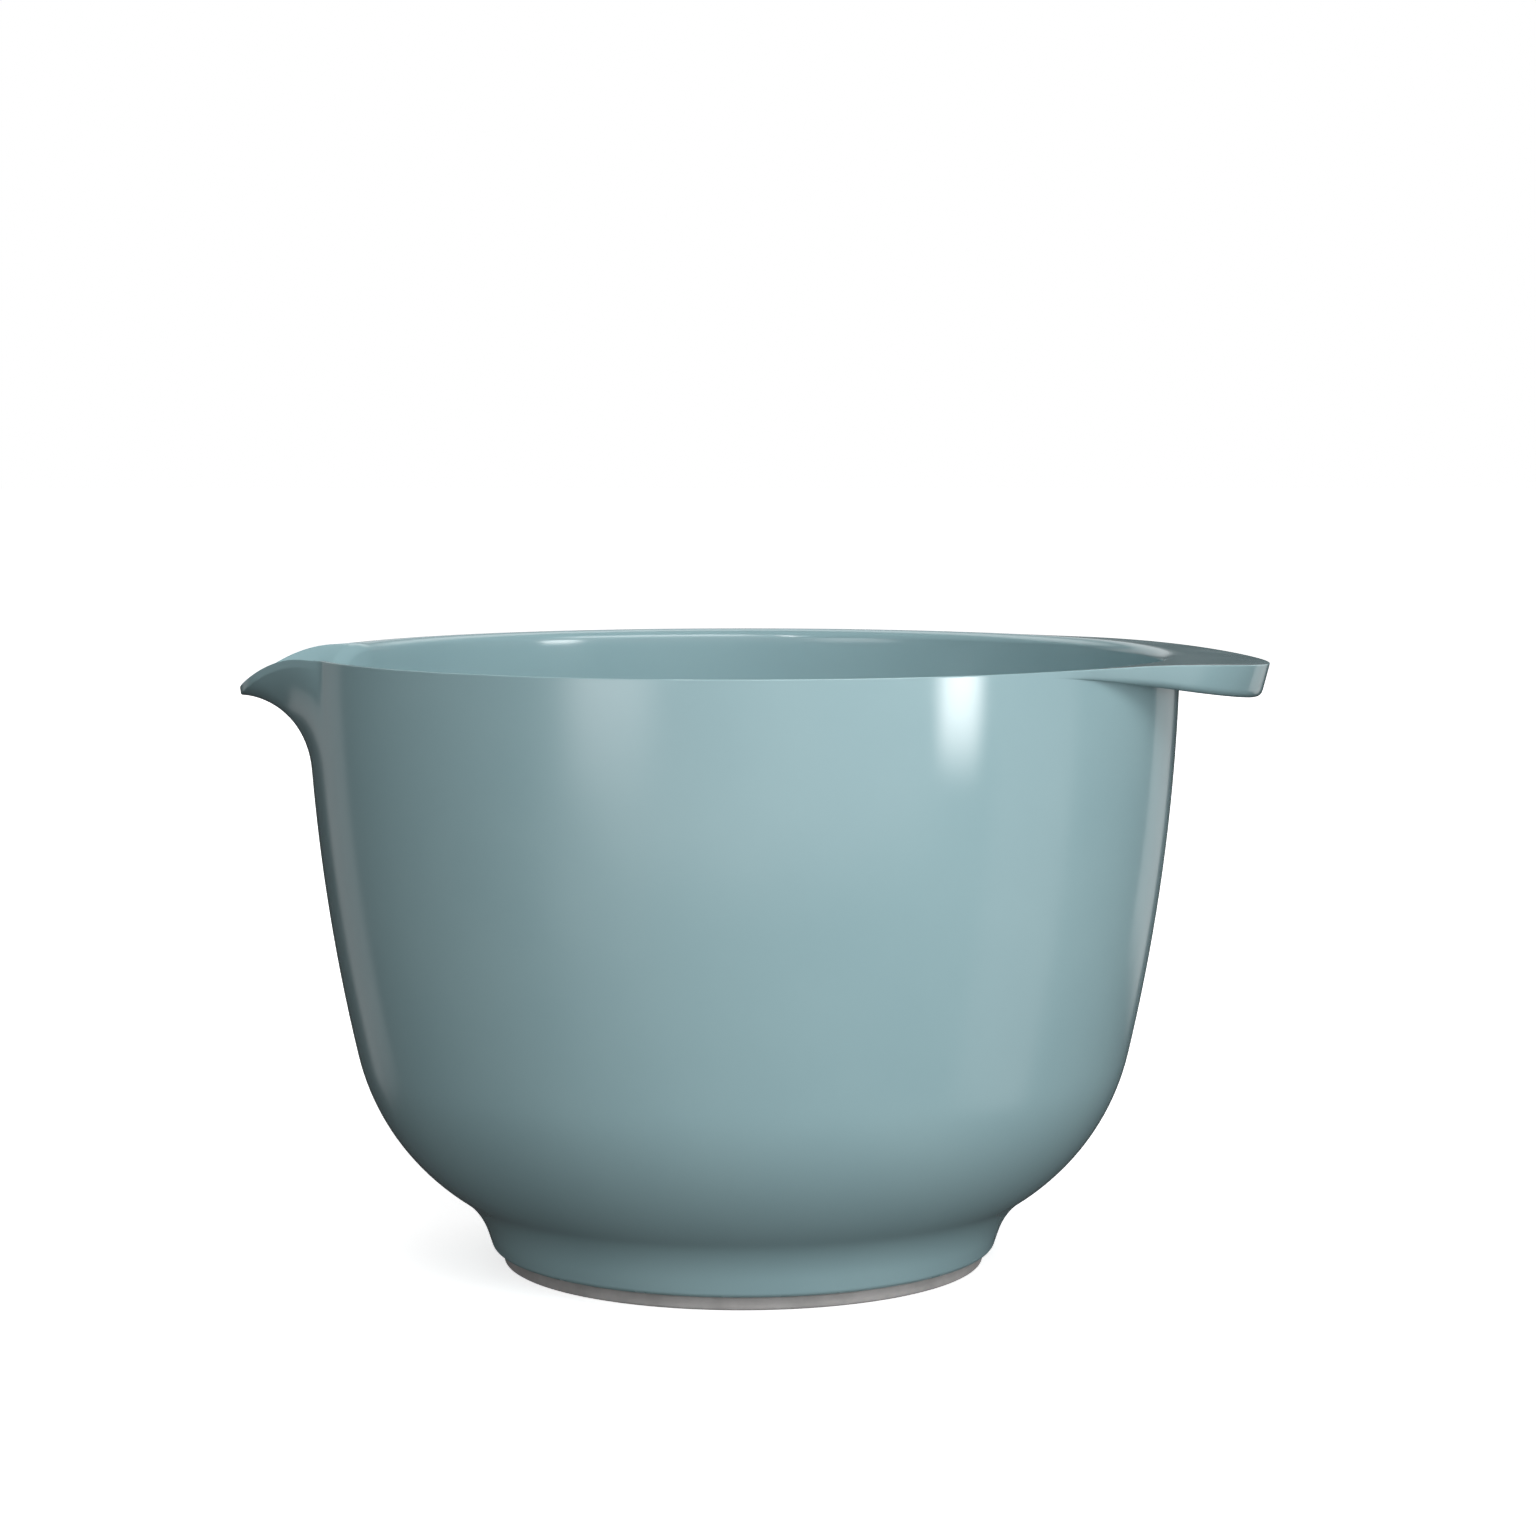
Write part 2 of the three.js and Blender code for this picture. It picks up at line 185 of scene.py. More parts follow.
def lower_outline():
    """Underside and outer wall, up to the height where the spout starts."""
    side_top = arc_point(cove_centre, -COVE_RADIUS, FOOT_SLOPE)
    edge_top = FOOT_HEIGHT + FOOT_EDGE_RADIUS * (1 - math.sin(FOOT_SLOPE))
    inward = (side_top[1] - edge_top) * math.tan(FOOT_SLOPE)
    edge_centre = (
        side_top[0] - inward - FOOT_EDGE_RADIUS * math.cos(FOOT_SLOPE),
        FOOT_HEIGHT + FOOT_EDGE_RADIUS,
    )
    flat_edge = arc_point(belly_centre, BELLY_RADIUS, DOWN)
    dome = [flat_edge]
    dome += arc_steps(belly_centre, BELLY_RADIUS, DOWN, foot_inner_slope, DOME_STEPS)
    groove_top = TONGUE_TOP + FIT_GAP
    foot = eased(
        [
            dome[-2],
            dome[-1],
            (FOOT_INNER_RADIUS, FOOT_HEIGHT),
            (GROOVE_INNER_RADIUS, FOOT_HEIGHT),
            (GROOVE_INNER_RADIUS, groove_top),
            (GROOVE_OUTER_RADIUS, groove_top),
            (GROOVE_OUTER_RADIUS, FOOT_HEIGHT),
            arc_point(edge_centre, FOOT_EDGE_RADIUS, DOWN),
        ],
        FOOT_EASES,
        FOOT_CORNER_STEPS,
    )
    return (
        disc_steps(flat_edge, DISC_SHARES)
        + dome[:-2]
        + foot
        + arc_steps(edge_centre, FOOT_EDGE_RADIUS, DOWN, FOOT_SLOPE, FOOT_EDGE_STEPS)
        + [side_top]
        + arc_steps(cove_centre, -COVE_RADIUS, FOOT_SLOPE, BELLY_END_SLOPE, COVE_STEPS)
        + arc_steps(belly_centre, BELLY_RADIUS, BELLY_END_SLOPE, SIDE_END_SLOPE, BELLY_STEPS)
        + arc_steps(side_centre, SIDE_RADIUS, SIDE_END_SLOPE, flare_start_slope, SIDE_STEPS)
    )


def inside_outline():
    """Inner wall from that height down to the middle of the floor."""
    side = SIDE_RADIUS - WALL
    belly = BELLY_RADIUS - WALL
    flat_edge = arc_point(belly_centre, belly, DOWN)
    return (
        [arc_point(side_centre, side, flare_start_slope)]
        + arc_steps(side_centre, side, flare_start_slope, SIDE_END_SLOPE, SIDE_STEPS)
        + arc_steps(belly_centre, belly, SIDE_END_SLOPE, DOWN, INNER_BELLY_STEPS)
        + disc_steps(flat_edge, reversed(DISC_SHARES))
    )


# ---- Plan outline of the edge, as radius at an angle from the centre line ----
def polar_angle(centre, radius, angle):
    return math.atan2(radius * math.sin(angle), centre + radius * math.cos(angle))


def circle_crossing(centre, radius, angle):
    across = centre * math.sin(angle)
    return centre * math.cos(angle) + math.sqrt(radius ** 2 - across ** 2)


handle_centre = HANDLE_REACH - HANDLE_END_RADIUS
handle_angle = math.acos((RIM_RADIUS - HANDLE_END_RADIUS) / handle_centre)
handle_end_angle = polar_angle(handle_centre, HANDLE_END_RADIUS, handle_angle)

spout_centre = SPOUT_REACH - SPOUT_TIP_RADIUS
spout_line = spout_centre * math.cos(SPOUT_SIDE_NORMAL) + SPOUT_TIP_RADIUS
spout_tip_angle = polar_angle(spout_centre, SPOUT_TIP_RADIUS, SPOUT_SIDE_NORMAL)
fillet_radius = RIM_RADIUS + SPOUT_FILLET
fillet_angle = SPOUT_SIDE_NORMAL - math.acos((spout_line + SPOUT_FILLET) / fillet_radius)
fillet_end_angle = math.atan2(
    fillet_radius * math.sin(fillet_angle) - SPOUT_FILLET * math.sin(SPOUT_SIDE_NORMAL),
    fillet_radius * math.cos(fillet_angle) - SPOUT_FILLET * math.cos(SPOUT_SIDE_NORMAL),
)


def handle_outline(angle):
    if angle >= handle_angle:
        return RIM_RADIUS
    if angle >= handle_end_angle:
        return RIM_RADIUS / math.cos(handle_angle - angle)
    return circle_crossing(handle_centre, HANDLE_END_RADIUS, angle)


def spout_outline(angle):
    if angle >= fillet_angle:
        return RIM_RADIUS
    if angle >= fillet_end_angle:
        turn = fillet_angle - angle
        across = fillet_radius * math.sin(turn)
        return fillet_radius * math.cos(turn) - math.sqrt(SPOUT_FILLET ** 2 - across ** 2)
    if angle >= spout_tip_angle:
        return spout_line / math.cos(SPOUT_SIDE_NORMAL - angle)
    return circle_crossing(spout_centre, SPOUT_TIP_RADIUS, angle)


def edge_height(x):
    droop = max(x - HANDLE_DROOP_START, 0) ** 2 / (2 * HANDLE_DROOP_RADIUS)
    dip = max(-x - SPOUT_DIP_START, 0) ** 2 / (2 * SPOUT_DIP_RADIUS)
    return HEIGHT - droop - dip


# ---- Upper part of a section ----
WALL_STEPS = 10                # points on the wall above FLARE_START
CORNER_STEPS = 5               # pieces of each rounded corner
EDGE_STEPS = 4                 # pieces of the rounded outer edge
EDGE_EASE_SHARE = 0.9          # most of the stretch beside the edge that its rounding may take
CORNER_EASE_SHARE = 0.96       # most of the stretch between two corners that they may take together
CORNER_EASES = (0.0025, 0.0013, 0.0005, 0.0020)
HANDLE_BLEND = 0.0015          # overhang at which the lip's hollow has its full shape
LEAST_FLARE = 0.00003          # below this overhang the outer side is the plain wall
LAND_APPROACH = 0.05           # share of the flare that aims the corner at its end
SLIDE_END = math.radians(64)   # past the handle, the mesh rows spread out again by this angle
NEAR_CORNERS = (0.0021, 0.0018, 0.0015, SKIRT_LEAST_HEIGHT)    # corner depths beside the handle
FAR_CORNERS = (0.0085, 0.0062, 0.0039, LIP_LAND)   # corner depths on the plain wall


class Flare:
    """The outer side above FLARE_START: an arc that is tangent to the wall and ends at the lip."""

    def __init__(self, angle):
        smallest_overhang = 1e-6
        self.reach = spout_outline(math.pi - angle)
        self.edge = edge_height(self.reach * math.cos(angle))
        self.overhang = max(self.reach - RIM_RADIUS, smallest_overhang)
        rise = self.edge - LIP_LAND - FLARE_START
        self.radius = (rise ** 2 + self.overhang ** 2) / (2 * self.overhang)
        self.sweep = math.asin(rise / self.radius)

    def point(self, share):
        turn = self.sweep * share
        z = FLARE_START + self.radius * math.sin(turn)
        return (wall_radius(z) + self.radius * (1 - math.cos(turn)), z)

    def radius_at(self, z):
        """Outer radius at a height, upright above the arc's end."""
        climb = min(z - FLARE_START, self.radius * math.sin(self.sweep))
        return wall_radius(z) + self.radius - math.sqrt(self.radius ** 2 - climb ** 2)

    def inner(self, share):
        """The inner side of the spout: an offset that thins towards the lip."""
        turn = self.sweep * share
        r, z = self.point(share)
        thickness = mix(WALL, LIP_LAND, share ** 2)
        return (r - thickness * math.cos(turn), z + thickness * math.sin(turn))


def wall_corner_points(depths):
    """The wall from FLARE_START with four corners marked on it, as on the handle's underside."""
    corners = [(RIM_RADIUS, HEIGHT - depth) for depth in depths]
    path = [(RIM_RADIUS, FLARE_START)] + corners + [(RIM_RADIUS, HEIGHT)]
    return path_points(path)


def path_points(path):
    """Points along a path of a start, four eased corners and an end, without the two ends."""
    eases = (0,) + CORNER_EASES + (EDGE_EASE,)
    shares = []
    for i in range(len(path) - 1):
        together = eases[i] + eases[i + 1]
        shares.append(min(1, CORNER_EASE_SHARE * math.dist(path[i], path[i + 1]) / together))
    points = []
    for i in range(1, len(path) - 1):
        start_ease = eases[i] * shares[i - 1]
        end_ease = eases[i] * shares[i]
        points += corner(path[i - 1], path[i], path[i + 1], start_ease, end_ease, CORNER_STEPS)
    wall = [mix_points(path[0], points[0], i / WALL_STEPS) for i in range(1, WALL_STEPS)]
    return wall + points


def plain_outer(angle, flare):
    """Outer side up to the edge, away from the handle."""
    spread = smooth_step((angle - handle_angle) / (SLIDE_END - handle_angle))
    depths = [mix(near, far, spread) for near, far in zip(NEAR_CORNERS, FAR_CORNERS)]
    heights = [z for _, z in wall_corner_points(depths)]
    if flare.overhang < LEAST_FLARE:
        rise = flare.edge - HEIGHT
        return [(wall_radius(z + rise), z + rise) for z in heights]
    land_start = len(heights) - CORNER_STEPS - 1
    lip = HEIGHT - depths[-1]
    points = []
    for z in heights[:land_start]:
        share = (z - FLARE_START) / (lip - FLARE_START)
        points.append(flare.point(share))
    last_share = (heights[land_start] - FLARE_START) / (lip - FLARE_START)
    before = flare.point(last_share - LAND_APPROACH)
    foot_of_land = flare.point(1.0)
    top = (flare.reach, flare.edge)
    return points + corner(before, foot_of_land, top, EDGE_EASE, EDGE_EASE, CORNER_STEPS)


def handle_outer(angle, reach):
    """Outer side up the wall, under the handle's plate and round its skirt."""
    cosine = math.cos(angle)

    def plane_at(r):
        outward = max(r * cosine - SKIRT_PLANE_START, 0)
        return HEIGHT - math.hypot(SKIRT_PLANE_FALL * outward, SKIRT_LEAST_HEIGHT)

    def ceiling_at(r):
        return max(plane_at(r), edge_height(r * cosine) - HANDLE_PLATE)

    overhang = reach - RIM_RADIUS
    skirt_height = edge_height(reach * cosine) - plane_at(reach)
    outer = reach - min(SKIRT_DRAFT * skirt_height, overhang / 2)
    room = outer - RIM_RADIUS
    inner = outer - min(SKIRT_THICKNESS, room / 2)
    skirt_foot = inner + min(SKIRT_INNER_DRAFT, room / 20)
    full = [
        (RIM_RADIUS, ceiling_at(RIM_RADIUS)),
        (inner, ceiling_at(inner)),
        (skirt_foot, plane_at(skirt_foot)),
        (outer, plane_at(outer)),
    ]
    lip = plane_at(RIM_RADIUS)
    slim = [
        (RIM_RADIUS, lip - depth + SKIRT_LEAST_HEIGHT) for depth in NEAR_CORNERS[:-1]
    ] + [(outer, plane_at(outer))]
    share = smooth_step(overhang / HANDLE_BLEND)
    corners = [mix_points(a, b, share) for a, b in zip(slim, full)]
    path = [(RIM_RADIUS, FLARE_START)] + corners + [(reach, edge_height(reach * cosine))]
    bow = wall_radius(HEIGHT)
    points = []
    for r, z in path_points(path):
        # The path is drawn against an upright wall, and the real wall leans in a little.
        lean = (bow - wall_radius(z)) * smooth_step(1 - (r - RIM_RADIUS) / HANDLE_BLEND)
        points.append((r - lean, z))
    return points


# Points on the handle's plate, on the rounded inner edge and on the wall below it
PLATE_STEPS = 8
ROUND_STEPS = 10
INNER_STEPS = 12
PLATE_TURN = DOWN / 6          # turn of the surface at the end of the plate
STEP_FADE = 6                  # power by which the step under the rounded edge dies out downwards


def plain_top(angle, reach, flare):
    """Top of the handle's plate, the rounded inner edge and the upper inner wall."""
    plate = max(reach - flare.overhang - RIM_RADIUS, 0)
    points = []
    for i in range(1, PLATE_STEPS + ROUND_STEPS + 1):
        share = min(i / PLATE_STEPS, 1)
        on_round = max(i - PLATE_STEPS, 0) / ROUND_STEPS
        turn = PLATE_TURN * share + (DOWN - PLATE_TURN) * on_round
        r = reach - plate * share - RIM_ROUND_WIDTH * math.sin(turn)
        edge = edge_height(r * math.cos(angle)) if plate > 0 else flare.edge
        points.append((r, edge - RIM_ROUND_HEIGHT * (1 - math.cos(turn))))
    wall_top = points[-1][1]
    step = reach - plate - flare.radius_at(wall_top)
    for i in range(1, INNER_STEPS + 1):
        down = i / (INNER_STEPS + 1)
        z = mix(wall_top, FLARE_START, down)
        thickness = mix(RIM_ROUND_WIDTH, WALL, down)
        points.append((flare.radius_at(z) + step * (1 - down) ** STEP_FADE - thickness, z))
    return points


def spout_top(flare):
    """The same rows of points inside the spout."""
    steps = PLATE_STEPS + ROUND_STEPS + INNER_STEPS
    return [flare.inner(1 - i / (steps + 1)) for i in range(1, steps + 1)]


def section(angle):
    """Section at an angle from the handle's centre line, from underside to floor."""
    flare = Flare(angle)
    on_handle = angle < handle_angle
    reach = handle_outline(angle) if on_handle else flare.reach
    outer = handle_outer(angle, reach) if on_handle else plain_outer(angle, flare)
    edge = (reach, edge_height(reach * math.cos(angle)))
    share = smooth_step(flare.overhang / SPOUT_FULL_OVERHANG)
    top = [mix_points(a, b, share) for a, b in zip(plain_top(angle, reach, flare), spout_top(flare))]
    beside_edge = (outer[-1], top[1])
    eases = [min(EDGE_EASE, EDGE_EASE_SHARE * math.dist(edge, point)) for point in beside_edge]
    edge_points = corner(beside_edge[0], edge, beside_edge[1], *eases, EDGE_STEPS)
    return lower + outer + edge_points + top[1:] + inside


lower = lower_outline()
inside = inside_outline()


# ---- Meshes ----
def turned_mesh(name, angles, outline_at, closed):
    """Joins the outline at each angle into a smooth mesh. An open outline gets two poles."""
    vertices = []
    rows = 0
    for angle in angles:
        outline = outline_at(abs(angle))
        rows = len(outline)
        for r, z in outline:
            vertices.append((AXIS_X + r * math.cos(angle), r * math.sin(angle), z))
    faces = []
    count = len(angles)
    for i in range(count):
        here = i * rows
        after = ((i + 1) % count) * rows
        for j in range(rows if closed else rows - 1):
            k = (j + 1) % rows
            faces.append((here + j, after + j, after + k, here + k))
    if not closed:
        underside = len(vertices)
        vertices.append((AXIS_X, 0, vertices[0][2]))
        floor = len(vertices)
        vertices.append((AXIS_X, 0, vertices[rows - 1][2]))
        for i in range(count):
            here = i * rows
            after = ((i + 1) % count) * rows
            faces.append((underside, after, here))
            faces.append((floor, here + rows - 1, after + rows - 1))
    mesh = bpy.data.meshes.new(name)
    mesh.from_pydata(vertices, [], faces)
    mesh.polygons.foreach_set("use_smooth", [True] * len(mesh.polygons))
    mesh.update()
    piece = bpy.data.objects.new(name, mesh)
    bpy.context.scene.collection.objects.link(piece)
    return piece


SPOUT_MARGIN = math.radians(3)             # close-set rows start this far ahead of the spout


def station_angles():
    """Angles round the bowl, closer together on the handle and the spout."""
    spout_zone = math.pi - fillet_angle - SPOUT_MARGIN
    stretches = [
        (0, handle_end_angle, 26),
        (handle_end_angle, handle_angle, 34),
        (handle_angle, SLIDE_END, 16),
        (SLIDE_END, spout_zone, 70),
        (spout_zone, math.pi, 60),
    ]
    half = []
    for start, end, steps in stretches:
        half += [mix(start, end, i / steps) for i in range(steps)]
    return half + [math.pi] + [-angle for angle in reversed(half[1:])]


def build_shell():
    return turned_mesh("moulded_shell", station_angles(), section, closed=False)


RING_CORNER_STEPS = 4
RING_STATIONS = 256


def build_ring():
    top = FOOT_HEIGHT - FIT_GAP
    middle = mix(RING_INNER_RADIUS, RING_OUTER_RADIUS, 0.5)
    tongue_inner = GROOVE_INNER_RADIUS + FIT_GAP
    tongue_outer = GROOVE_OUTER_RADIUS - FIT_GAP
    path = [
        (middle, 0),
        (RING_OUTER_RADIUS, 0),
        (RING_OUTER_RADIUS, top),
        (tongue_outer, top),
        (tongue_outer, TONGUE_TOP),
        (tongue_inner, TONGUE_TOP),
        (tongue_inner, top),
        (RING_INNER_RADIUS, top),
        (RING_INNER_RADIUS, 0),
        (middle, 0),
    ]
    outline = eased(path, RING_EASES, RING_CORNER_STEPS)[:-1]
    angles = [2 * math.pi * i / RING_STATIONS for i in range(RING_STATIONS)]
    return turned_mesh("rubber_ring", angles, lambda angle: outline, closed=True)


# ---- Materials ----
def new_material(name):
    material = bpy.data.materials.new(name)
    material.use_nodes = True
    nodes = material.node_tree.nodes
    return material, nodes, material.node_tree.links, nodes["Principled BSDF"]


def noise(nodes, links, source, scale, detail):
    texture = nodes.new("ShaderNodeTexNoise")
    texture.inputs["Scale"].default_value = scale
    texture.inputs["Detail"].default_value = detail
    links.new(source, texture.inputs["Vector"])
    return texture.outputs["Fac"]


def ramp(nodes, links, source, low, high, at_low, at_high):
    """Maps source from the range low..high to at_low..at_high, clamped."""
    node = nodes.new("ShaderNodeMapRange")
    node.inputs["From Min"].default_value = low
    node.inputs["From Max"].default_value = high
    node.inputs["To Min"].default_value = at_low
    node.inputs["To Max"].default_value = at_high
    links.new(source, node.inputs["Value"])
    return node.outputs["Result"]


def math_node(nodes, links, operation, a, b):
    node = nodes.new("ShaderNodeMath")
    node.operation = operation
    for socket, value in zip(node.inputs, (a, b)):
        if isinstance(value, (int, float)):
            socket.default_value = value
        else:
            links.new(value, socket)
    return node.outputs["Value"]


def colour_mix(nodes, links, share, first, second):
    node = nodes.new("ShaderNodeMix")
    node.data_type = "RGBA"
    links.new(share, node.inputs["Factor"])
    node.inputs["A"].default_value = (*first, 1)
    node.inputs["B"].default_value = (*second, 1)
    return node.outputs["Result"]


def bump(nodes, links, shader, height, distance):
    node = nodes.new("ShaderNodeBump")
    node.inputs["Distance"].default_value = distance
    links.new(height, node.inputs["Height"])
    links.new(node.outputs["Normal"], shader.inputs["Normal"])


MELAMINE_LIGHT = (0.318, 0.476, 0.508)
MELAMINE_DEEP = (0.304, 0.460, 0.494)
MELAMINE_IOR = 1.58
MELAMINE_ROUGHNESS = (0.10, 0.135)
FOOT_WEAR = 0.16               # roughness that rubbing adds to the foot's edge
FOOT_WEAR_HEIGHTS = (0.004, 0.007)
RIPPLE_DEPTH = 0.00002


def melamine():
    """Glossy moulded melamine: near-even colour, faint ripple, and duller wear where it rubs."""
    material, nodes, links, shader = new_material("gloss_melamine")
    place = nodes.new("ShaderNodeTexCoord").outputs["Object"]
    mottle = noise(nodes, links, place, scale=30, detail=3)
    depth = ramp(nodes, links, mottle, 0.35, 0.65, 0, 1)
    colour = colour_mix(nodes, links, depth, MELAMINE_LIGHT, MELAMINE_DEEP)
    links.new(colour, shader.inputs["Base Color"])
    haze = noise(nodes, links, place, scale=55, detail=5)
    haze_roughness = ramp(nodes, links, haze, 0.4, 0.75, *MELAMINE_ROUGHNESS)
    height = nodes.new("ShaderNodeSeparateXYZ")
    links.new(place, height.inputs["Vector"])
    foot_wear = ramp(nodes, links, height.outputs["Z"], *FOOT_WEAR_HEIGHTS, FOOT_WEAR, 0)
    roughness = math_node(nodes, links, "ADD", haze_roughness, foot_wear)
    links.new(roughness, shader.inputs["Roughness"])
    shader.inputs["IOR"].default_value = MELAMINE_IOR
    ripple = noise(nodes, links, place, scale=45, detail=1)
    bump(nodes, links, shader, ripple, RIPPLE_DEPTH)
    return material


RUBBER_LIGHT = (0.42, 0.41, 0.405)
RUBBER_DARK = (0.34, 0.335, 0.33)
RUBBER_ROUGHNESS = (0.62, 0.82)
RUBBER_GRAIN_DEPTH = 0.00004


def rubber():
    """Matt warm-grey rubber with a fine grain and a little dust."""
    material, nodes, links, shader = new_material("grey_rubber")
    place = nodes.new("ShaderNodeTexCoord").outputs["Object"]
    cloud = noise(nodes, links, place, scale=160, detail=4)
    dust = ramp(nodes, links, cloud, 0.35, 0.65, 0, 1)
    colour = colour_mix(nodes, links, dust, RUBBER_LIGHT, RUBBER_DARK)
    links.new(colour, shader.inputs["Base Color"])
    matt = ramp(nodes, links, cloud, 0.3, 0.7, *RUBBER_ROUGHNESS)
    links.new(matt, shader.inputs["Roughness"])
    grain = noise(nodes, links, place, scale=2600, detail=2)
    bump(nodes, links, shader, grain, RUBBER_GRAIN_DEPTH)
    return material


FLOOR_LIGHT = (0.90, 0.90, 0.90)
FLOOR_LIGHTEST = (0.92, 0.92, 0.92)
FLOOR_ROUGHNESS = 0.9
FLOOR_GLOW_REACH = (0.1, 0.6)  # distances from the bowl's middle between which the glow grows
FLOOR_GLOW = (0.72, 1.0)


def pale_floor():
    """White, with a glow that grows outwards until the floor is as white as the backdrop."""
    material, nodes, links, shader = new_material("pale_floor")
    place = nodes.new("ShaderNodeTexCoord").outputs["Object"]
    cloud = noise(nodes, links, place, scale=3, detail=2)
    colour = colour_mix(nodes, links, cloud, FLOOR_LIGHT, FLOOR_LIGHTEST)
    links.new(colour, shader.inputs["Base Color"])
    shader.inputs["Roughness"].default_value = FLOOR_ROUGHNESS
    shader.inputs["Emission Color"].default_value = (1, 1, 1, 1)
    distance = nodes.new("ShaderNodeVectorMath")
    distance.operation = "LENGTH"
    links.new(place, distance.inputs[0])
    glow = ramp(nodes, links, distance.outputs["Value"], *FLOOR_GLOW_REACH, *FLOOR_GLOW)
    links.new(glow, shader.inputs["Emission Strength"])
    return material


# ---- Studio ----
CAMERA_DISTANCE = 0.85166
CAMERA_HEIGHT = 0.19095
CAMERA_PITCH = math.radians(5.1536)
CAMERA_PAN = math.radians(0.38437)
CAMERA_LENS = 86.83            # millimetres, as is the sensor's width
CAMERA_SENSOR = 36
CAMERA_CLIP_START = 0.01


def add_camera():
    data = bpy.data.cameras.new("photo_camera")
    data.lens = CAMERA_LENS
    data.sensor_width = CAMERA_SENSOR
    data.clip_start = CAMERA_CLIP_START
    camera = bpy.data.objects.new("photo_camera", data)
    camera.location = (AXIS_X, -CAMERA_DISTANCE, CAMERA_HEIGHT)
    camera.rotation_euler = (QUARTER_TURN - CAMERA_PITCH, 0, -CAMERA_PAN)
    bpy.context.scene.collection.objects.link(camera)
    bpy.context.scene.camera = camera


# Soft lights as seen from the bowl: azimuth (0 is behind the camera, 90 is +X), elevation,
# width and height, all in degrees, radiance in the middle, and the share of the half-width
# over which the light fades out towards its edges.
SOFT_LIGHTS = {
    "key_high": (29, 48, 80, 34, 4.8, 0.4),
    "key_middle": (27, 22, 90, 26, 1.25, 0.4),
    "front_low": (4, -3, 110, 40, 0.85, 0.5),
    "window": (55.5, 0, 17, 22, 14, 0.7),
    "left_panel": (-33, 1, 34, 28, 1.95, 0.75),
    "left_fill": (-38, -10, 44, 44, 0.4, 0.8),
    "right_side": (80, -13, 34, 46, 0.5, 0.4),
    "right_edge": (144, 0, 22, 30, 0.5, 0.25),
    "left_edge": (-135, -6, 24, 38, 0.3, 0.5),
    "back_high": (185, 48, 120, 40, 1.7, 0.8),
    "back_middle": (180, 18, 130, 26, 0.7, 0.6),
    "strip": (-15, 36, 7, 44, 9, 0.6),
}
ROOM_COLOUR = (0.03, 0.03, 0.03, 1)
STUDIO_RADIUS = 2.0
STUDIO_CENTRE_HEIGHT = 0.08
FLOOR_HALF_SIZE = 12


def fade_to_edges(data, softness):
    """Makes an area light brightest in the middle, like a diffusion panel."""
    data.use_nodes = True
    nodes = data.node_tree.nodes
    links = data.node_tree.links
    place = nodes.new("ShaderNodeSeparateXYZ")
    links.new(nodes.new("ShaderNodeNewGeometry").outputs["Parametric"], place.inputs["Vector"])
    fades = []
    for axis in ("X", "Y"):
        inward = math_node(nodes, links, "PINGPONG", place.outputs[axis], 0.5)
        fade = ramp(nodes, links, inward, 0, softness / 2, 0, 1)
        fade.node.interpolation_type = "SMOOTHSTEP"
        fades.append(fade)
    strength = math_node(nodes, links, "MULTIPLY", *fades)
    links.new(strength, nodes["Emission"].inputs["Strength"])


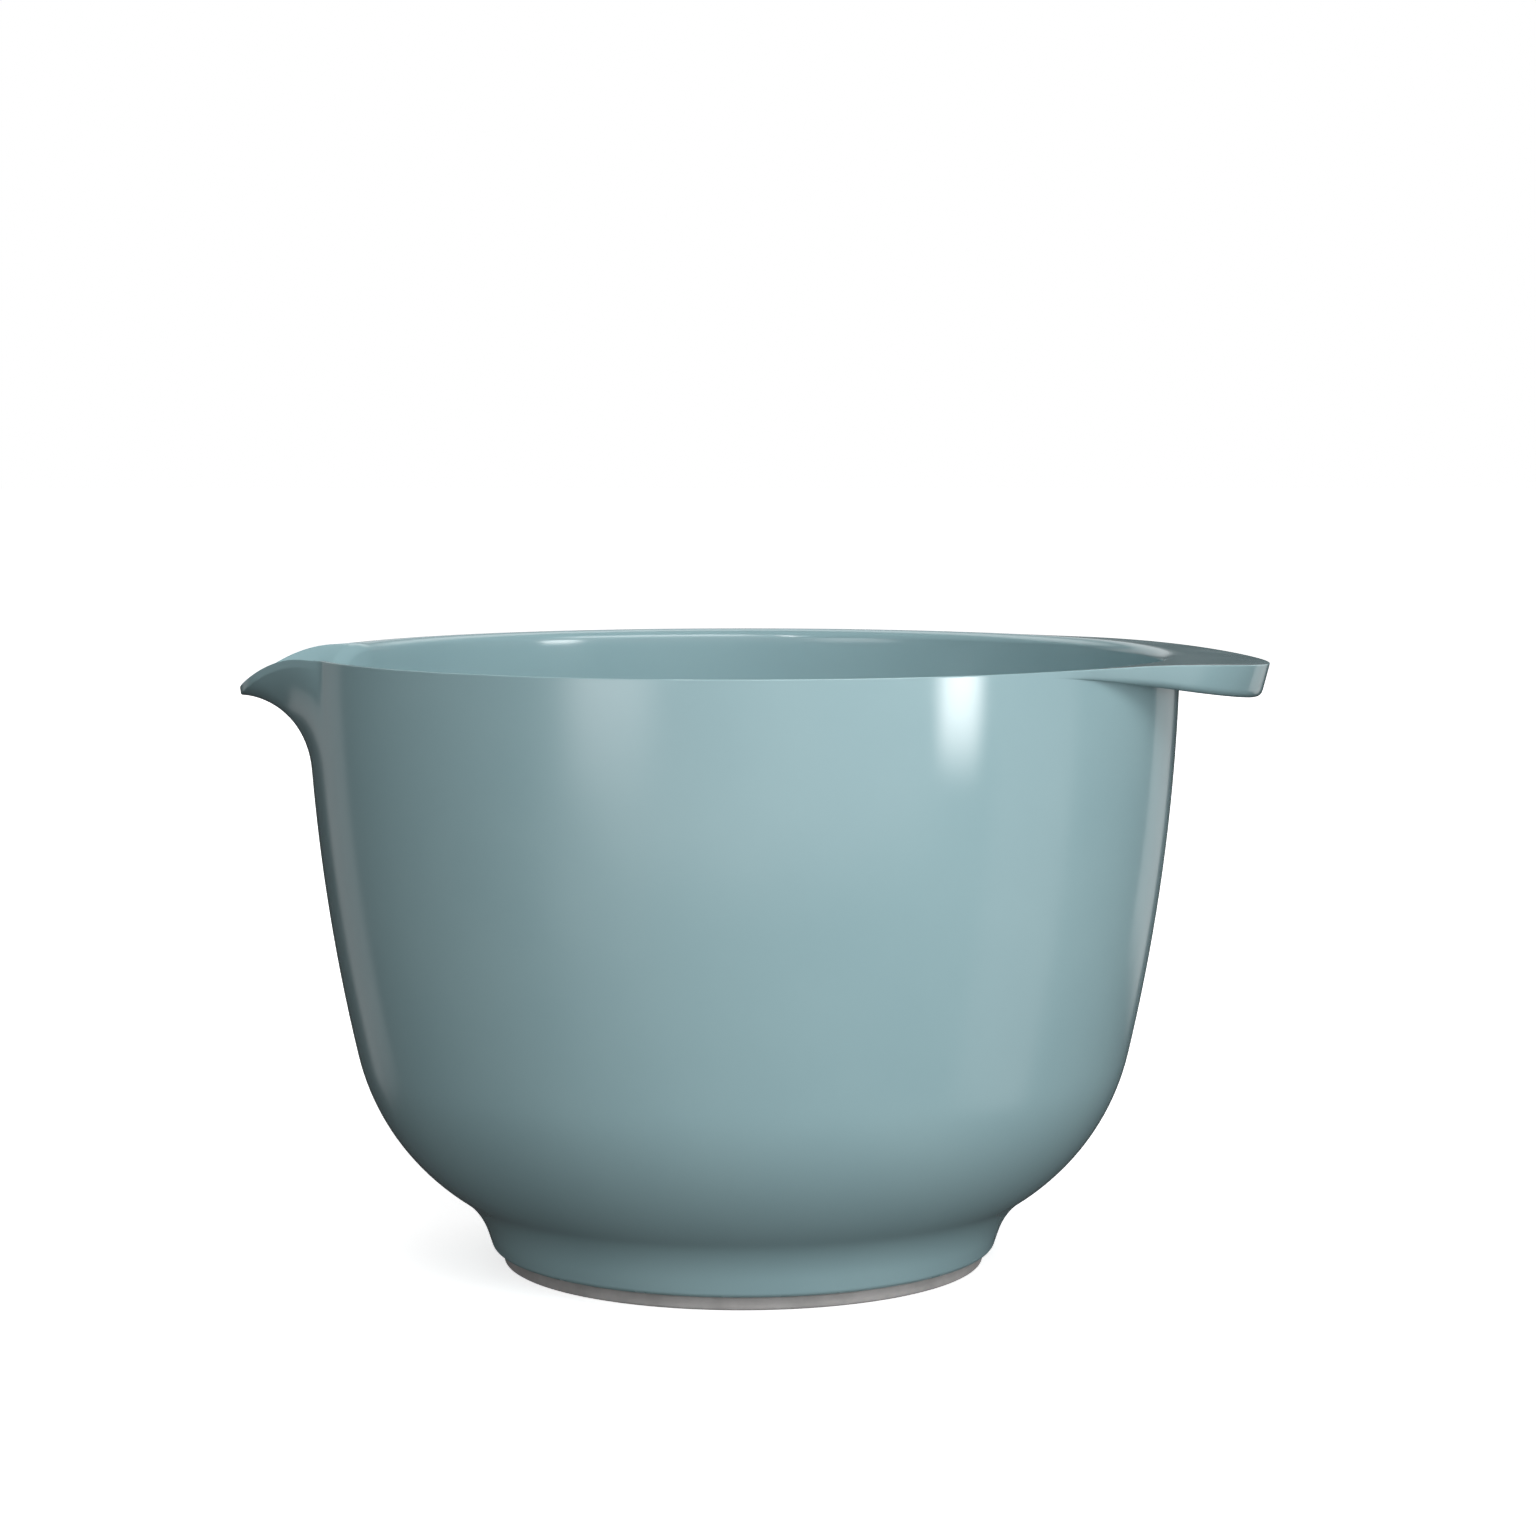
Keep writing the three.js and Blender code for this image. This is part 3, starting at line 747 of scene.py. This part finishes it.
def add_soft_light(name, azimuth, elevation, width, height, radiance, softness):
    """A soft-edged light on a sphere round the bowl, facing its middle."""
    data = bpy.data.lights.new(name, "AREA")
    data.shape = "RECTANGLE"
    turn = math.radians(azimuth)
    climb = math.radians(elevation)
    data.size = 2 * STUDIO_RADIUS * math.tan(math.radians(width / 2)) * math.cos(climb)
    data.size_y = 2 * STUDIO_RADIUS * math.tan(math.radians(height / 2))
    data.energy = radiance * math.pi * data.size * data.size_y
    fade_to_edges(data, softness)
    light = bpy.data.objects.new(name, data)
    light.location = (
        AXIS_X + STUDIO_RADIUS * math.cos(climb) * math.sin(turn),
        -STUDIO_RADIUS * math.cos(climb) * math.cos(turn),
        STUDIO_CENTRE_HEIGHT + STUDIO_RADIUS * math.sin(climb),
    )
    light.rotation_euler = (QUARTER_TURN - climb, 0, turn)
    bpy.context.scene.collection.objects.link(light)


def add_floor():
    half = FLOOR_HALF_SIZE
    corners = [(-half, -half, 0), (half, -half, 0), (half, half, 0), (-half, half, 0)]
    mesh = bpy.data.meshes.new("studio_floor")
    mesh.from_pydata(corners, [], [(0, 1, 2, 3)])
    floor = bpy.data.objects.new("studio_floor", mesh)
    mesh.materials.append(pale_floor())
    bpy.context.scene.collection.objects.link(floor)
    floor.visible_diffuse = False
    floor.visible_glossy = False
    floor.visible_shadow = False


def add_world():
    """White to the camera, and a dim grey room to everything else."""
    world = bpy.data.worlds.new("studio")
    world.use_nodes = True
    nodes = world.node_tree.nodes
    links = world.node_tree.links
    background = nodes["Background"]
    path = nodes.new("ShaderNodeLightPath")
    room = nodes.new("ShaderNodeRGB")
    room.outputs[0].default_value = ROOM_COLOUR
    mixer = nodes.new("ShaderNodeMix")
    mixer.data_type = "RGBA"
    mixer.inputs["B"].default_value = (1, 1, 1, 1)
    links.new(path.outputs["Is Camera Ray"], mixer.inputs["Factor"])
    links.new(room.outputs[0], mixer.inputs["A"])
    links.new(mixer.outputs["Result"], background.inputs["Color"])
    bpy.context.scene.world = world


def add_studio():
    bpy.context.scene.view_settings.view_transform = "Standard"
    add_camera()
    add_world()
    add_floor()
    for name, light in SOFT_LIGHTS.items():
        add_soft_light(name, *light)


# ---- Assembly ----
def finish_piece(piece, node, material):
    piece.data.materials.append(material)
    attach(piece, "root")
    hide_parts(node)


finish_piece(build_shell(), "bowl_shell", melamine())
finish_piece(build_ring(), "non_slip_ring", rubber())
add_studio()
